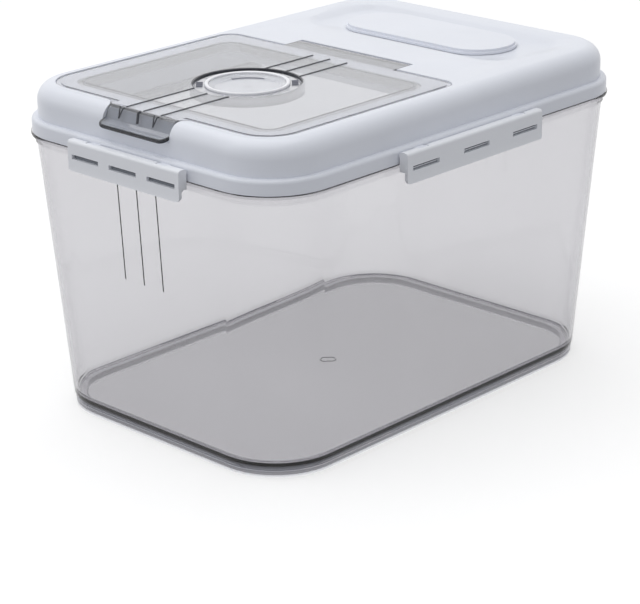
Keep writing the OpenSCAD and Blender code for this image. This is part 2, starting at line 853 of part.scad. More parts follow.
module cassette_tray() {
    bottom = dish_z - tray_d;
    color([0.9, 0.91, 0.93]) translate([0, cap_y, 0]) difference() {
        union() {
            slab(cap_z, tray_flange_z) stadium(cap_len - 2 * tray_in, cap_wid - 2 * tray_in);
            slab(bottom, cap_z + eps) tray_outline(0);
        }
        slab(bottom + tray_t, tray_flange_z + 1) tray_outline(-tray_t);
        tray_slots(bottom);
    }
}

// Slots in the tray's floor that let the air reach the desiccant
module tray_slots(bottom) {
    for (i = [0:slot_cols - 1], j = [0:slot_rows - 1])
        translate([(i - (slot_cols - 1) / 2) * slot_px, (j - (slot_rows - 1) / 2) * slot_py, 0])
        box([-slot_w / 2, -slot_l / 2, bottom - 1], [slot_w / 2, slot_l / 2, bottom + tray_t + 1]);
}

module cassette_gasket() {
    inset = 2 * (tray_in + tray_step + tray_t);
    color([0.6, 0.62, 0.65]) translate([0, cap_y, 0])
        slab(gasket_z, roof_z) difference() {
            stadium(cap_len - 2 * tray_in, cap_wid - 2 * tray_in);
            stadium(cap_len - inset, cap_wid - inset);
        }
}

tub();
lid();
lid_seal();
flap();
flap_seal();
flap_hinge_pin();
dial_ring();
dial_disc();
dial_retainer();
front_clip();
rear_clip();
left_clip();
right_clip();
front_clip_pin();
rear_clip_pin();
left_clip_pin();
right_clip_pin();
cassette_cap();
cassette_tray();
cassette_gasket();
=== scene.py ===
import json
import math

import bmesh
import bpy
from mathutils import Matrix, Vector


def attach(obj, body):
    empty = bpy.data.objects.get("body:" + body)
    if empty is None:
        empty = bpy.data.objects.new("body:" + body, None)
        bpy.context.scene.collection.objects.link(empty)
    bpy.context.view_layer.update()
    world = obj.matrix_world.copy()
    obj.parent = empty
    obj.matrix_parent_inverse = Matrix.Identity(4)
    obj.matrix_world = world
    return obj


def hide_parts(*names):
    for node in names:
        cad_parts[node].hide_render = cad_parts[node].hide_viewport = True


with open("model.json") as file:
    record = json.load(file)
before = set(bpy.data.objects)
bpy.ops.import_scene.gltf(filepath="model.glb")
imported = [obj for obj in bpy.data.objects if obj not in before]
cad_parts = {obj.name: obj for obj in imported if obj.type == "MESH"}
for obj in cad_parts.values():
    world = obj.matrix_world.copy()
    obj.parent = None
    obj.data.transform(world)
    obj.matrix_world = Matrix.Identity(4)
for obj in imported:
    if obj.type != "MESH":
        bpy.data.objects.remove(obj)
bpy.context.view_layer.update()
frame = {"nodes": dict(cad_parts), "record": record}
NODES = frame["nodes"]
SLOT = {entry["node"]: entry["material_slot"] for entry in frame["record"]["subparts"]}
BODY = {node: body for body, nodes in frame["record"]["behaviour"]["bodies"].items() for node in nodes}
SIDES = ("front", "rear", "left", "right")
MM = 0.001
scene = bpy.context.scene

# Camera, fitted to the rim, the foot and the lid's edges: pixels, degrees, metres and a sensor in mm
IMAGE_WIDTH_PX = 640.0
FOCAL_PX = 2223.465
SENSOR_WIDTH = 36.0
CAMERA_AZIMUTH = 43.709
CAMERA_ELEVATION = 20.799
CAMERA_ROLL = -0.757
CAMERA_TARGET = Vector((-0.007985, 0.0, 0.047373))
CAMERA_DISTANCE = 1.490286
CAMERA_NEAR = 0.05
CAMERA_FAR = 20.0


def place_camera():
    cam = bpy.data.cameras.new("camera")
    cam.sensor_fit = "HORIZONTAL"
    cam.sensor_width = SENSOR_WIDTH
    cam.lens = SENSOR_WIDTH * FOCAL_PX / IMAGE_WIDTH_PX
    cam.clip_start = CAMERA_NEAR
    cam.clip_end = CAMERA_FAR
    obj = bpy.data.objects.new("camera", cam)
    scene.collection.objects.link(obj)
    az, el, roll = (math.radians(a) for a in (CAMERA_AZIMUTH, CAMERA_ELEVATION, CAMERA_ROLL))
    back = Vector((math.sin(az) * math.cos(el), -math.cos(az) * math.cos(el), math.sin(el)))
    right = Vector((math.cos(az), math.sin(az), 0.0))
    up = back.cross(right)
    x = right * math.cos(roll) + up * math.sin(roll)
    y = up * math.cos(roll) - right * math.sin(roll)
    pose = Matrix((x, y, back)).transposed().to_4x4()
    pose.translation = CAMERA_TARGET + back * CAMERA_DISTANCE
    obj.matrix_world = pose
    scene.camera = obj


# Node helpers. Most of a noise's values lie between these two
NOISE_LOW = 0.3
NOISE_HIGH = 0.7


def new_mat(name):
    mat = bpy.data.materials.new(name)
    mat.use_nodes = True
    nt = mat.node_tree
    nt.nodes.clear()
    out = nt.nodes.new("ShaderNodeOutputMaterial")
    return mat, nt, out


def link(nt, a, b):
    nt.links.new(a, b)


def noise(nt, scale, detail=3.0):
    node = nt.nodes.new("ShaderNodeTexNoise")
    node.inputs["Scale"].default_value = scale
    node.inputs["Detail"].default_value = detail
    link(nt, nt.nodes.new("ShaderNodeTexCoord").outputs["Object"], node.inputs["Vector"])
    return node.outputs["Fac"]


def ramp(nt, fac, a, b, lo=NOISE_LOW, hi=NOISE_HIGH):
    """Colour that goes from a to b as fac goes from lo to hi."""
    node = nt.nodes.new("ShaderNodeValToRGB")
    for element, position, colour in zip(node.color_ramp.elements, (lo, hi), (a, b)):
        element.position = position
        element.color = (*colour, 1.0)
    link(nt, fac, node.inputs["Fac"])
    return node.outputs["Color"]


def spread(nt, fac, lo, hi):
    """Value from lo to hi over the middle of a noise's range."""
    node = nt.nodes.new("ShaderNodeMapRange")
    node.inputs["From Min"].default_value = NOISE_LOW
    node.inputs["From Max"].default_value = NOISE_HIGH
    node.inputs["To Min"].default_value = lo
    node.inputs["To Max"].default_value = hi
    link(nt, fac, node.inputs["Value"])
    return node.outputs["Result"]


def uneven(nt, value, share, scale):
    """Value that drifts by a share of itself either way."""
    return spread(nt, noise(nt, scale), value * (1 - share), value * (1 + share))


def bump(nt, height, strength, distance):
    node = nt.nodes.new("ShaderNodeBump")
    node.inputs["Strength"].default_value = strength
    node.inputs["Distance"].default_value = distance
    link(nt, height, node.inputs["Height"])
    return node.outputs["Normal"]


def seen_rays(nt):
    """1 for what the camera sees, also through glass or in gloss, and 0 for light between surfaces."""
    path = nt.nodes.new("ShaderNodeLightPath")
    seen = path.outputs["Is Camera Ray"]
    for kind in ("Is Transmission Ray", "Is Glossy Ray"):
        most = nt.nodes.new("ShaderNodeMath")
        most.operation = "MAXIMUM"
        link(nt, seen, most.inputs[0])
        link(nt, path.outputs[kind], most.inputs[1])
        seen = most.outputs[0]
    return seen


def srgb(r, g, b):
    """Screen colour from 0 to 255 as linear values."""
    def linear(c):
        c /= 255.0
        return c / 12.92 if c <= 0.04045 else ((c + 0.055) / 1.055) ** 2.4
    return (linear(r), linear(g), linear(b))


# Kinds of material: drifts are shares of a colour, scales are counts per metre and heights are metres
PLASTIC_IOR = 1.49
PLASTIC_DRIFT = 0.02
PLASTIC_DRIFT_SCALE = 14.0
PLASTIC_GLOSS_DRIFT = 0.12
PLASTIC_GLOSS_SCALE = 60.0
GRAIN_SCALE = 900.0
GRAIN_STRENGTH = 0.25
GRAIN_HEIGHT = 0.00002
SHADE_ROUGH = (0.45, 0.6)
SHADE_UNEVEN = 0.25
SHADE_SCALE = 90.0
CLEAR_DRIFT = 0.015
CLEAR_DRIFT_SCALE = 9.0
CLEAR_GLOSS_DRIFT = 0.4
CLEAR_GLOSS_SCALE = 25.0
WAVE_SCALE = 7.0
WAVE_STRENGTH = 0.15
WAVE_HEIGHT = 0.00004
STEEL_DRIFT = 0.06
STREAK_SCALE = 300.0
STREAK_GLOSS_DRIFT = 0.2
STREAK_GLOSS_SCALE = 800.0


def plastic(name, colour, rough=0.35):
    """Opaque moulded plastic: faint colour drift, fine grain and uneven gloss."""
    mat, nt, out = new_mat(name)
    p = nt.nodes.new("ShaderNodeBsdfPrincipled")
    low = tuple(c * (1 - PLASTIC_DRIFT) for c in colour)
    high = tuple(min(1.0, c * (1 + PLASTIC_DRIFT)) for c in colour)
    link(nt, ramp(nt, noise(nt, PLASTIC_DRIFT_SCALE), low, high), p.inputs["Base Color"])
    link(nt, uneven(nt, rough, PLASTIC_GLOSS_DRIFT, PLASTIC_GLOSS_SCALE), p.inputs["Roughness"])
    p.inputs["IOR"].default_value = PLASTIC_IOR
    grain = noise(nt, GRAIN_SCALE, 2.0)
    link(nt, bump(nt, grain, GRAIN_STRENGTH, GRAIN_HEIGHT), p.inputs["Normal"])
    link(nt, p.outputs["BSDF"], out.inputs["Surface"])
    return mat


def painted_slot_shade(name, low, high, z0, z1):
    """Painted shade: plastic whose colour darkens from height z0 to z1 in mm, standing in for the shade deep
    in a slot.
    """
    mat, nt, out = new_mat(name)
    p = nt.nodes.new("ShaderNodeBsdfPrincipled")
    xyz = nt.nodes.new("ShaderNodeSeparateXYZ")
    link(nt, nt.nodes.new("ShaderNodeTexCoord").outputs["Object"], xyz.inputs[0])
    height = nt.nodes.new("ShaderNodeMapRange")
    height.inputs["From Min"].default_value = z0 * MM
    height.inputs["From Max"].default_value = z1 * MM
    link(nt, xyz.outputs["Z"], height.inputs["Value"])
    wobble = nt.nodes.new("ShaderNodeMath")
    wobble.operation = "MULTIPLY_ADD"
    wobble.inputs[1].default_value = SHADE_UNEVEN
    link(nt, noise(nt, SHADE_SCALE), wobble.inputs[0])
    link(nt, height.outputs["Result"], wobble.inputs[2])
    link(nt, ramp(nt, wobble.outputs[0], low, high, 0.1, 1.1), p.inputs["Base Color"])
    link(nt, spread(nt, noise(nt, PLASTIC_GLOSS_SCALE), *SHADE_ROUGH), p.inputs["Roughness"])
    link(nt, p.outputs["BSDF"], out.inputs["Surface"])
    return mat


def clear(name, colour, density, rough=0.012, tint=(1.0, 1.0, 1.0), shade=0.93, ior=1.46, through=1.0):
    """Clear tinted moulding: it refracts, absorbs in the wall's depth and lets the lamps shine through.

    colour and density set the absorption, tint the surface, shade how light its shadow is, and through how
    much of it transmits.
    """
    mat, nt, out = new_mat(name)
    p = nt.nodes.new("ShaderNodeBsdfPrincipled")
    low = tuple(c * (1 - CLEAR_DRIFT) for c in tint)
    link(nt, ramp(nt, noise(nt, CLEAR_DRIFT_SCALE), low, tint), p.inputs["Base Color"])
    link(nt, uneven(nt, rough, CLEAR_GLOSS_DRIFT, CLEAR_GLOSS_SCALE), p.inputs["Roughness"])
    p.inputs["IOR"].default_value = ior
    p.inputs["Transmission Weight"].default_value = through
    wave = noise(nt, WAVE_SCALE, 1.0)
    link(nt, bump(nt, wave, WAVE_STRENGTH, WAVE_HEIGHT), p.inputs["Normal"])
    shadow = nt.nodes.new("ShaderNodeBsdfTransparent")
    shadow.inputs["Color"].default_value = (shade, shade, shade, 1.0)
    mix = nt.nodes.new("ShaderNodeMixShader")
    path = nt.nodes.new("ShaderNodeLightPath")
    link(nt, path.outputs["Is Shadow Ray"], mix.inputs[0])
    link(nt, p.outputs["BSDF"], mix.inputs[1])
    link(nt, shadow.outputs["BSDF"], mix.inputs[2])
    link(nt, mix.outputs["Shader"], out.inputs["Surface"])
    depth = nt.nodes.new("ShaderNodeVolumeAbsorption")
    depth.inputs["Color"].default_value = (*colour, 1.0)
    depth.inputs["Density"].default_value = density
    link(nt, depth.outputs["Volume"], out.inputs["Volume"])
    return mat


def metal(name, colour, rough):
    """Drawn rod: fine streaks of brightness and gloss."""
    mat, nt, out = new_mat(name)
    p = nt.nodes.new("ShaderNodeBsdfPrincipled")
    low = tuple(c * (1 - STEEL_DRIFT) for c in colour)
    link(nt, ramp(nt, noise(nt, STREAK_SCALE), low, colour), p.inputs["Base Color"])
    link(nt, uneven(nt, rough, STREAK_GLOSS_DRIFT, STREAK_GLOSS_SCALE), p.inputs["Roughness"])
    p.inputs["Metallic"].default_value = 1.0
    link(nt, p.outputs["BSDF"], out.inputs["Surface"])
    return mat


# Studio: metres, watts and strengths, where 1 is white
ROOM_COLOUR = (0.97, 0.98, 1.0, 1.0)
ROOM_STRENGTH = 0.52
WHITE = (1.0, 1.0, 1.0, 1.0)
FLOOR_HALF = 4.0
FLOOR_BOUNCE = (0.55, 0.55, 0.56, 1.0)
FLOOR_LOW = (0.50, 0.50, 0.50)
FLOOR_HIGH = (0.52, 0.52, 0.52)
FLOOR_GLOW = 0.6


def room():
    """World that lights the object softly and shows as plain white."""
    world = bpy.data.worlds.new("studio")
    scene.world = world
    world.use_nodes = True
    nt = world.node_tree
    nt.nodes.clear()
    out = nt.nodes.new("ShaderNodeOutputWorld")
    mix = nt.nodes.new("ShaderNodeMixShader")
    link(nt, seen_rays(nt), mix.inputs[0])
    for socket, colour, strength in ((1, ROOM_COLOUR, ROOM_STRENGTH), (2, WHITE, 1.0)):
        light = nt.nodes.new("ShaderNodeBackground")
        light.inputs["Color"].default_value = colour
        light.inputs["Strength"].default_value = strength
        link(nt, light.outputs[0], mix.inputs[socket])
    link(nt, mix.outputs[0], out.inputs["Surface"])


def floor_material():
    """Pale floor that keeps the object's shadow, bounces a plain grey and is near white to the eye."""
    mat, nt, out = new_mat("floor_white")
    p = nt.nodes.new("ShaderNodeBsdfPrincipled")
    p.inputs["Roughness"].default_value = 0.8
    p.inputs["Specular IOR Level"].default_value = 0.2
    seen = seen_rays(nt)
    shade = nt.nodes.new("ShaderNodeMix")
    shade.data_type = "RGBA"
    shade.inputs[6].default_value = FLOOR_BOUNCE
    link(nt, seen, shade.inputs[0])
    link(nt, ramp(nt, noise(nt, 3.0), FLOOR_LOW, FLOOR_HIGH), shade.inputs[7])
    link(nt, shade.outputs[2], p.inputs["Base Color"])
    glow = nt.nodes.new("ShaderNodeMath")
    glow.operation = "MULTIPLY"
    glow.inputs[1].default_value = FLOOR_GLOW
    link(nt, seen, glow.inputs[0])
    p.inputs["Emission Color"].default_value = WHITE
    link(nt, glow.outputs[0], p.inputs["Emission Strength"])
    link(nt, p.outputs["BSDF"], out.inputs["Surface"])
    return mat


def lamp(name, at, aim, side, power):
    light = bpy.data.lights.new(name, "AREA")
    light.shape = "RECTANGLE"
    light.size = side
    light.size_y = side
    light.energy = power
    obj = bpy.data.objects.new(name, light)
    scene.collection.objects.link(obj)
    obj.location = at
    obj.rotation_euler = (Vector(aim) - Vector(at)).to_track_quat("-Z", "Y").to_euler()


def studio():
    room()
    me = bpy.data.meshes.new("floor")
    s = FLOOR_HALF
    me.from_pydata([(-s, -s, 0), (s, -s, 0), (s, s, 0), (-s, s, 0)], [], [(0, 1, 2, 3)])
    floor = bpy.data.objects.new("floor", me)
    scene.collection.objects.link(floor)
    me.materials.append(floor_material())
    lamp("top", at=(-0.3, -0.1, 1.6), aim=(0.0, 0.0, 0.1), side=1.8, power=14.0)
    lamp("key", at=(-1.1, -1.3, 1.1), aim=(0.0, 0.0, 0.15), side=1.0, power=2.0)


# Materials of this object
TUB_SMOKE = (0.797, 0.793, 0.808)
TUB_DENSITY = 475.0
FLAP_SMOKE = (0.70, 0.71, 0.74)
FLAP_DENSITY = 160.0

M_TUB = clear("clear_tub", TUB_SMOKE, TUB_DENSITY, shade=0.96)
# Painted shade: tints of the same clear plastic for the foot ring, which looks darker edge on
M_FOOT_SHADE = clear("clear_foot_painted_shade", TUB_SMOKE, TUB_DENSITY, tint=(0.93, 0.96, 0.99), shade=0.96)
M_BAND_SHADE = clear("clear_band_painted_shade", TUB_SMOKE, TUB_DENSITY, tint=(0.68, 0.73, 0.79), shade=0.96)
M_FLAP = clear("clear_flap", FLAP_SMOKE, FLAP_DENSITY, tint=(0.82, 0.825, 0.85), shade=0.9, through=0.78)
# Painted shade: darker tints on the flap's tab and hinge strip, which are of the same clear moulding
M_TAB_SHADE = clear("clear_tab_painted_shade", FLAP_SMOKE, FLAP_DENSITY, tint=(0.52, 0.54, 0.58), shade=0.85, through=0.85)
M_HINGE_SHADE = clear("clear_hinge_painted_shade", FLAP_SMOKE, FLAP_DENSITY, tint=(0.74, 0.745, 0.80), shade=0.9, through=0.8)
# Painted shade: dark clear stuff for the front edge of the tab's lip
M_LIP_SHADE = clear("clear_lip_painted_shade", (0.30, 0.32, 0.38), 900.0, tint=(0.22, 0.23, 0.28))
M_RING = clear("clear_ring", (0.75, 0.76, 0.78), 90.0, rough=0.03, tint=(0.95, 0.95, 0.97), through=0.55)
M_DISC = clear("dial_clear", (0.80, 0.81, 0.84), 60.0, rough=0.03, tint=(0.80, 0.81, 0.85), through=0.45)
# Painted highlight: glossy white on the disc's rim, standing in for the highlight of its bevel
M_RIM_HIGHLIGHT = plastic("dial_rim_painted_highlight", srgb(240, 240, 244), 0.2)
# Grey for the printed numbers and the grips, and for the painted shadow arc on the disc
M_PRINT_AND_SHADE = plastic("dial_print_and_shadow_grey", srgb(120, 122, 132), 0.4)
# Painted shade: opaque dark for the flap's ribs and the arc behind the dial ring
M_PAINTED_SHADE = plastic("painted_shade_dark", srgb(42, 44, 52))
M_LID = plastic("lid_white", srgb(226, 229, 237), 0.32)
M_CLIP = plastic("clip_grey", srgb(233, 235, 240), 0.4)
# Painted shade inside the clip windows, darker towards their top
M_WINDOW_SHADE = painted_slot_shade("window_painted_shade_back", srgb(150, 154, 161), srgb(78, 82, 92), 180.6, 183.8)
M_INNER = plastic("inner_white", (0.82, 0.82, 0.83), 0.45)
M_SEAL = plastic("silicone", (0.66, 0.67, 0.69), 0.6)
M_CLEAR_SEAL = clear("silicone_clear", (0.9, 0.9, 0.9), 200.0, rough=0.35, ior=1.4)
M_STEEL = metal("steel", (0.62, 0.62, 0.64), 0.25)

LOOK = {
    "tub": M_TUB,
    "flap": M_FLAP,
    "lid": M_LID,
    "dial_ring": M_RING,
    "dial_disc": M_DISC,
    "dial_retainer": M_INNER,
    "cassette_cap": M_LID,
    "cassette_tray": M_INNER,
    "cassette_gasket": M_SEAL,
    "lid_seal": M_CLEAR_SEAL,
    "flap_seal": M_CLEAR_SEAL,
    "flap_hinge_pin": M_STEEL,
}
for side in SIDES:
    LOOK[side + "_clip"] = M_CLIP
    LOOK[side + "_clip_pin"] = M_STEEL


def dress(node, mat):
    """Gives a CAD node its material."""
    o = NODES[node]
    if not o.material_slots:
        o.data.materials.append(mat)
    for s in o.material_slots:
        s.material = mat


# Mesh helpers: lengths in mm and angles in degrees
WELD = 0.001
SHARP = 32.0
HARD_EDGE = 34.0
FLAT = 1.0
CORNER_BAND = 0.1
CORNER_LENGTH = 4.0
CORNER_STEPS = 5


def corner_fan(first, sharp, todo):
    """Corners of one vertex that share a smooth surface with the first, taken out of todo."""
    fan = [first]
    grow = [first]
    while grow:
        corner = grow.pop()
        for e in (corner.edge, corner.link_loop_prev.edge):
            if e.index in sharp:
                continue
            near = [q for other in e.link_loops for q in (other, other.link_loop_next)]
            for q in near:
                if q.vert == first.vert and q in todo:
                    todo.remove(q)
                    fan.append(q)
                    grow.append(q)
    return fan


def smooth_by_area(me, limit):
    """Smooth shading with sharp edges kept, where the larger faces set the normals and so stay flat."""
    for f in me.polygons:
        f.use_smooth = True
    me.set_sharp_from_angle(angle=math.radians(limit))
    bm = bmesh.new()
    bm.from_mesh(me)
    sharp = {e.index for e in bm.edges if not e.smooth or len(e.link_faces) != 2}
    area = [f.calc_area() for f in bm.faces]
    order = {}
    for f in bm.faces:
        for corner in f.loops:
            order[corner] = len(order)
    normals = [None] * len(order)
    for v in bm.verts:
        todo = set(v.link_loops)
        while todo:
            fan = corner_fan(todo.pop(), sharp, todo)
            normal = Vector((0.0, 0.0, 0.0))
            for corner in fan:
                normal += corner.face.normal * area[corner.face.index]
            normal.normalize()
            for corner in fan:
                normals[order[corner]] = tuple(normal)
    bm.free()
    me.normals_split_custom_set(normals)


def detail(name, bm, mat, body, slot, smooth=SHARP):
    """A piece that adds to a body without standing for a node."""
    bmesh.ops.recalc_face_normals(bm, faces=bm.faces)
    me = bpy.data.meshes.new(name)
    bm.to_mesh(me)
    bm.free()
    me.materials.append(mat)
    o = bpy.data.objects.new(name, me)
    scene.collection.objects.link(o)
    smooth_by_area(me, smooth)
    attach(o, body)
    return o


def piece(name, bm, mat, node, smooth=SHARP):
    """A piece that stands for a node and rides with its body."""
    o = detail(name, bm, mat, BODY[node], SLOT[node], smooth)
    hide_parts(node)
    return o


def skin(bm, rings, caps=True):
    """Joins rings of vertices, all of the same count, into a skin, with a face over each end."""
    count = len(rings[0])
    for a, b in zip(rings, rings[1:]):
        for i in range(count):
            j = (i + 1) % count
            bm.faces.new((a[i], a[j], b[j], b[i]))
    if caps:
        bm.faces.new(rings[0][::-1])
        bm.faces.new(rings[-1])


def ring_of(bm, points):
    """New vertices at points in mm."""
    return [bm.verts.new(Vector(p) * MM) for p in points]


def cad_copy(node):
    """Copy of a node's mesh in which each flat is one face."""
    bm = bmesh.new()
    bm.from_mesh(NODES[node].data)
    bmesh.ops.remove_doubles(bm, verts=bm.verts, dist=2 * WELD * MM)
    bmesh.ops.dissolve_limit(bm, angle_limit=math.radians(FLAT), verts=bm.verts, edges=bm.edges,
                             delimit={"NORMAL"})
    return bm


def ease_edges(bm, width, segments):
    """Rounds hard edges over by width in mm, once many-sided faces are cut into triangles."""
    bmesh.ops.triangulate(bm, faces=[f for f in bm.faces if len(f.verts) > 4])
    shared = [e for e in bm.edges if len(e.link_faces) == 2]
    hard = [e for e in shared if e.calc_face_angle(0.0) > math.radians(HARD_EDGE)]
    bmesh.ops.bevel(bm, geom=hard, offset=width * MM, offset_type="OFFSET", segments=segments, profile=0.5,
                    affect="EDGES", clamp_overlap=True, miter_outer="ARC")


def round_lower_corners(bm, radius):
    """Rounds a plate's two lower corners, which are its only short edges at the bottom."""
    low = min(v.co.z for v in bm.verts) + CORNER_BAND * MM
    under = [e for e in bm.edges if max(v.co.z for v in e.verts) < low]
    ends = [e for e in under if e.calc_length() < CORNER_LENGTH * MM]
    bmesh.ops.bevel(bm, geom=ends, offset=radius * MM, offset_type="OFFSET", segments=CORNER_STEPS,
                    profile=0.5, affect="EDGES", clamp_overlap=False)


# Tub, in mm and degrees, with the CAD's sizes at the rim
RIM_WIDTH = 239.0
RIM_LENGTH = 340.0
RIM_X = RIM_WIDTH / 2
RIM_Y = RIM_LENGTH / 2
RIM_TOP = 189.2
RIM_R = 43.0
RIM_EASE = 0.5
UPSTAND_IN = 3.2
UPSTAND_T = 2.2
UPSTAND_ROOT = 0.2
FLANGE_Z = 181.4
FLANGE_LOW = 182.5
FLANGE_TOP = 184.4

# Neck under the flange as (out from the rim, height), and how far the ribs still stand out at its foot
NECK_LOW = (-2.5, 178.3)
NECK_RIB_H = 0.2
NECK = ((-2.42, 180.0), (-2.3, 182.2), (-1.95, 182.45))

WALL_T = 2.2
WALL_DRAFT = 3.0
BASE_R = 45.0
FLOOR_UNDER = 5.5
FLOOR_Z = 8.5
FLOOR_FILLET = 4.0
FILLET_STEPS = 6
FLOOR_MARGIN = 10.0

# Rings on the floor round its middle as (half width, corner radius), then the gate mark as (half width, rise)
FLOOR_CIRCLES = ((30.0, 29.9), (5.0, 4.99))
GATE_MARK = ((4.15, 0.0), (4.0, 0.2), (3.8, 0.35), (3.3, 0.35), (3.1, 0.2), (2.95, 0.0), (1.0, 0.0))
GATE_STRAIGHT = 0.01

FOOT_IN = 0.8
FOOT_T = 7.2
FOOT_TOP = 6.9
FOOT_EASE = 0.4
GROOVES = ((4.2, 5.0), (5.6, 6.3))
GROOVE_DEPTH = 0.3
GROOVE_SLOPE = 0.2

# Shoulder over the foot ring: (out from the ring, height), then (height, in from the wall)
FOOT_SHOULDER = (0.08, 7.25)
WALL_SHOULDER = (7.75, 0.15)

# Painted shade on the foot ring, which is seen edge on: a deeper tint up to BAND_TOP and a faint blue-grey
# one under BAND_LOW, on faces that look outward by more than this cosine
BAND_LOW = 4.0
BAND_TOP = 7.2
OUTWARD = 0.5

RIB_X = (-17.0, 0.0, 17.0)
RIB_H = 0.55
RIB_FOOT = 0.55
RIB_CREST = 0.25

# Heights of the wall's rings: outside under the ribs, along the ribs, and inside
OUTER_LEVELS = (8.2, 9.0, 30.0, 60.0, 90.0, 105.6, 106.2)
RIB_LEVELS = (107.4, 140.0, 176.0, 178.1)
INNER_LEVELS = (150.0, 110.0, 70.0, 30.0)

# Points of a ring: the ribs move together on short sides under this half length, and the outermost point
# lies at this share of the straight stretch. An arris has its middle ring at this share of its easing.
RIB_SPREAD = 30.0
END_SHARE = 60.0 / 76.0
ARRIS = 0.3
ARC_STEPS = 18
SIDE_STEPS = 8


def wall(z, inset=0.0):
    """Half width, half length, corner radius and height of the drafted wall."""
    lean = math.tan(math.radians(WALL_DRAFT)) * (FLANGE_Z - z)
    r = BASE_R + (RIM_R - UPSTAND_IN - BASE_R) * (z - FLOOR_UNDER) / (FLANGE_Z - FLOOR_UNDER)
    shrink = UPSTAND_IN + lean + inset
    return (RIM_X - shrink, RIM_Y - shrink, r - inset, z)


def rim(out, z):
    """The rim's outer side, moved outward."""
    return (RIM_X + out, RIM_Y + out, RIM_R + out, z)


def foot(out, z):
    """The foot ring's outer side, moved outward."""
    hx, hy, r, _ = wall(FLOOR_UNDER)
    return (hx - FOOT_IN + out, hy - FOOT_IN + out, r - FOOT_IN + out, z)


def eased(place, out, z, inward, upward, r, rise_first=False):
    """Three rings round an arris at (out, z), whose material lies inward and upward of it."""
    middle = place(out + ARRIS * inward * r, z + ARRIS * upward * r)
    rings = [place(out + inward * r, z), middle, place(out, z + upward * r)]
    return rings[::-1] if rise_first else rings


def groove(z0, z1):
    """Groove round the foot ring, with sloping sides."""
    low = foot(-GROOVE_DEPTH, z0 + GROOVE_SLOPE)
    high = foot(-GROOVE_DEPTH, z1 - GROOVE_SLOPE)
    return [foot(0, z0), low, high, foot(0, z1)]


def plan(hx, hy, r, z, rib=0.0):
    """Rounded rectangle as a ring of points, always the same number, with ribs on its short sides."""
    near = min(1.0, (hx - r) / RIB_SPREAD)
    edge = (hx - r) * END_SHARE
    short = [(-edge, 0.0)]
    for c in RIB_X:
        for x, h in ((-RIB_FOOT, 0.0), (-RIB_CREST, 1.0), (RIB_CREST, 1.0), (RIB_FOOT, 0.0)):
            short.append(((c + x) * near, h))
    short.append((edge, 0.0))
    longs = [2.0 * i / SIDE_STEPS - 1 for i in range(1, SIDE_STEPS)]

    def arc(cx, cy, start):
        turns = [math.radians(start + 90.0 * i / ARC_STEPS) for i in range(ARC_STEPS + 1)]
        return [(cx + r * math.cos(a), cy + r * math.sin(a), z) for a in turns]

    points = [(x, -hy - rib * h, z) for x, h in short]
    points += arc(hx - r, r - hy, -90)
    points += [(hx, t * (hy - r), z) for t in longs]
    points += arc(hx - r, hy - r, 0)
    points += [(-x, hy + rib * h, z) for x, h in short]
    points += arc(r - hx, hy - r, 90)
    points += [(-hx, -t * (hy - r), z) for t in longs]
    points += arc(r - hx, r - hy, 180)
    return points


def tub_rings():
    """Rings and rib heights of the tub: up its outside, over the rim and down to the floor's middle."""
    rings = [foot(-FOOT_T, FLOOR_UNDER)]
    rings += eased(foot, -FOOT_T, 0.0, 1, 1, FOOT_EASE, rise_first=True)
    rings += eased(foot, 0.0, 0.0, -1, 1, FOOT_EASE)
    for z0, z1 in GROOVES:
        rings += groove(z0, z1)
    rings += [foot(0, FOOT_TOP), foot(*FOOT_SHOULDER), wall(*WALL_SHOULDER)]
    rings += [wall(z) for z in OUTER_LEVELS]
    outline = [(ring, 0.0) for ring in rings]
    # The ribs run into the neck under the flange
    outline += [(wall(z), RIB_H) for z in RIB_LEVELS]
    outline += [(rim(*NECK_LOW), NECK_RIB_H)]
    rings = [rim(*q) for q in NECK]
    rings += eased(rim, 0.0, FLANGE_LOW, -1, 1, RIM_EASE)
    rings += eased(rim, 0.0, FLANGE_TOP, -1, -1, RIM_EASE, rise_first=True)
    rings += [rim(UPSTAND_ROOT - UPSTAND_IN, FLANGE_TOP), rim(-UPSTAND_IN, FLANGE_TOP + UPSTAND_ROOT)]
    rings += eased(rim, -UPSTAND_IN, RIM_TOP, -1, -1, RIM_EASE, rise_first=True)
    rings += eased(rim, -UPSTAND_IN - UPSTAND_T, RIM_TOP, 1, -1, RIM_EASE)
    rings += [rim(-UPSTAND_IN - UPSTAND_T, FLANGE_Z)]
    rings += [wall(z, WALL_T) for z in INNER_LEVELS]
    for i in range(FILLET_STEPS + 1):
        a = math.radians(90.0 * i / FILLET_STEPS)
        above = FLOOR_FILLET * (1 - math.sin(a))
        inward = FLOOR_FILLET * (1 - math.cos(a))
        rings.append(wall(FLOOR_Z + above, WALL_T + inward))
    hx, hy, r, z = rings[-1]
    rings += [(hx - FLOOR_MARGIN, hy - FLOOR_MARGIN, r - FLOOR_MARGIN, z)]
    rings += [(q, q, corner, z) for q, corner in FLOOR_CIRCLES]
    rings += [(q, q, q - GATE_STRAIGHT, z + up) for q, up in GATE_MARK]
    return outline + [(ring, 0.0) for ring in rings]


def build_tub():
    """One closed skin, with painted shade outside its foot ring, which is seen edge on: a deeper tint on its
    upper band and a faint one below.
    """
    bm = bmesh.new()
    skin(bm, [ring_of(bm, plan(*ring, rib=rib)) for ring, rib in tub_rings()])
    tub = piece("tub_body", bm, M_TUB, "tub")
    tub.data.materials.append(M_FOOT_SHADE)
    tub.data.materials.append(M_BAND_SHADE)
    for f in tub.data.polygons:
        outward = f.normal.x * f.center.x + f.normal.y * f.center.y
        if f.center.z < BAND_TOP * MM and outward > OUTWARD * f.center.xy.length:
            f.material_index = 1 if f.center.z < BAND_LOW * MM else 2


